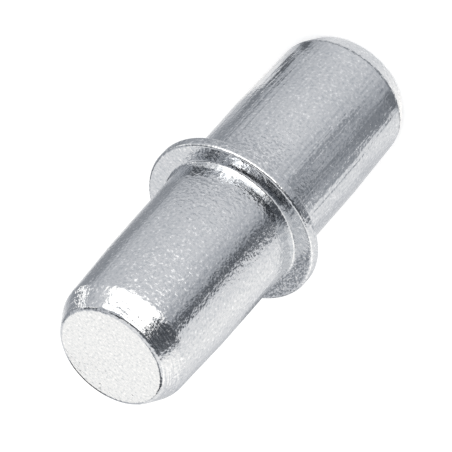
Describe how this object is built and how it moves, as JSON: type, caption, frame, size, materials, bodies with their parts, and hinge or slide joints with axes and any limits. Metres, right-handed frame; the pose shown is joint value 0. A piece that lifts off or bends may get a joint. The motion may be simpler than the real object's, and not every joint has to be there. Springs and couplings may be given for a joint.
{
  "type": "shelf support pin",
  "caption": "Round steel shelf pin with a thin collar between two equal shanks, one pushed into a cabinet hole and one carrying the shelf.",
  "frame": {"origin": "centre of the lower end face, on which the pin stands", "axes": "+Z along the pin's axis towards the upper end; the pin is round, so X and Y are free"},
  "size_m": [0.0065, 0.0064, 0.0155],
  "materials": {
    "zinc_plate": "bright zinc plate, finely grained"
  },
  "bodies": {
    "root": {"pin": "zinc_plate"}
  },
  "joints": []
}
